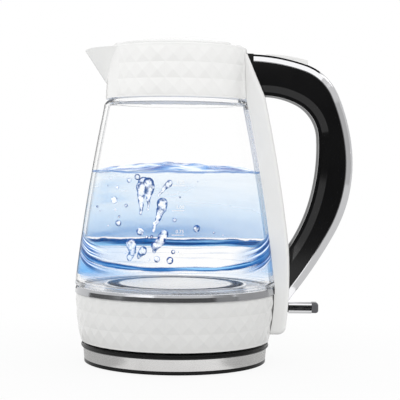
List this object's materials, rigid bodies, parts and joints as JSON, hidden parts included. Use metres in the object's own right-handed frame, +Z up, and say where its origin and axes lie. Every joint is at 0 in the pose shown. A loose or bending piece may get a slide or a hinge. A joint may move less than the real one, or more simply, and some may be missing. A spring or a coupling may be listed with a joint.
{
  "type": "electric kettle",
  "caption": "Cordless electric kettle: tapered glass jar between a white faceted collar with a beak spout and a faceted skirt, with a black loop handle, on a round power base.",
  "frame": {"origin": "on the table, at the axis of the jar and the base", "axes": "+Z up, -X towards the spout, +X towards the handle"},
  "size_m": [0.2087, 0.1522, 0.2433],
  "materials": {
    "white_gloss": "glossy moulded white, faceted on the collar and the skirt",
    "white_satin": "satin white moulding",
    "black_gloss": "glossy black",
    "black_satin": "satin black moulding",
    "grip_dark": "soft satin dark grey",
    "tip_grey": "satin dark grey",
    "insulator_dark": "matte heat-resistant moulding",
    "chrome_trim": "bright chrome",
    "band_steel": "brushed around the base",
    "plate_steel": "polished stainless",
    "screw_steel": "zinc-plated",
    "heater_metal": "dull cast metal",
    "bimetal": "dull strip metal",
    "contact_brass": "plain brass",
    "jar_glass": "clear borosilicate, printed with plain volume lines",
    "foot_rubber": "matte black",
    "gasket_dark": "dark silicone",
    "seal_clear": "translucent silicone"
  },
  "bodies": {
    "base": {"base_foot_ring": "foot_rubber", "base_lower_cover": "black_satin", "base_trim_band": "band_steel", "base_top_cover": "black_satin", "base_screws": "screw_steel", "cord_gland": "foot_rubber"},
    "connector": {"connector_post": "insulator_dark", "connector_earth_pin": "contact_brass", "connector_live_ring": "contact_brass", "connector_neutral_ring": "contact_brass"},
    "kettle": {"lower_skirt": "white_gloss", "bottom_cover": "black_satin", "bottom_cover_screws": "screw_steel", "glass_seat_ring": "plate_steel", "glass_jar": "jar_glass", "jar_base_gasket": "gasket_dark", "element_plate": "plate_steel", "heat_spreader": "heater_metal", "heating_element": "heater_metal", "control_body": "insulator_dark", "line_contacts": "contact_brass", "earth_socket": "contact_brass", "dry_boil_bimetal": "bimetal", "upper_collar": "white_gloss", "collar_gasket": "gasket_dark", "spout_filter_frame": "white_satin", "spout_filter_mesh": "plate_steel", "lid_hinge_pin": "screw_steel", "lid_spring": "screw_steel", "back_spine": "white_gloss", "spine_liner": "white_satin", "steam_tube": "seal_clear", "steam_switch_body": "insulator_dark", "steam_bimetal": "bimetal", "lever_pin": "screw_steel", "handle_body": "black_gloss", "handle_grip": "grip_dark", "handle_trim": "chrome_trim", "handle_screws": "screw_steel", "button_springs": "screw_steel"},
    "lid": {"lid_cap": "white_gloss", "lid_liner": "white_satin", "lid_seal": "seal_clear"},
    "lid_button": {"lid_button": "white_gloss"},
    "latch": {"latch_bar": "insulator_dark"},
    "power_lever": {"lever_rocker": "insulator_dark", "lever_bar": "chrome_trim", "lever_tip": "tip_grey"}
  },
  "joints": [
    {"name": "swivel", "type": "hinge", "parent": "base", "child": "connector", "pos_m": [0, 0, 0.0156], "axis": [0, 0, 1], "continuous": true},
    {"name": "lift_off", "type": "slide", "parent": "connector", "child": "kettle", "axis": [0, 0, 1], "range_m": [0, 0.15]},
    {"name": "lid_swing", "type": "hinge", "parent": "kettle", "child": "lid", "pos_m": [0.0453, 0, 0.2339], "axis": [0, 1, 0], "range_deg": [0, 80]},
    {"name": "button_press", "type": "slide", "parent": "kettle", "child": "lid_button", "axis": [0, 0, -1], "range_m": [0, 0.0025], "stiffness_N_per_m": 300, "deforming": ["button_springs"]},
    {"name": "latch_draw", "type": "slide", "parent": "kettle", "child": "latch", "axis": [1, 0, 0], "range_m": [0, 0.0025]},
    {"name": "power_switch", "type": "hinge", "parent": "kettle", "child": "power_lever", "pos_m": [0.079, 0, 0.0413], "axis": [0, 1, 0], "range_deg": [0, 12]}
  ],
  "couplings": [
    {"joint": "latch_draw", "follows": "button_press", "ratio": 1}
  ]
}
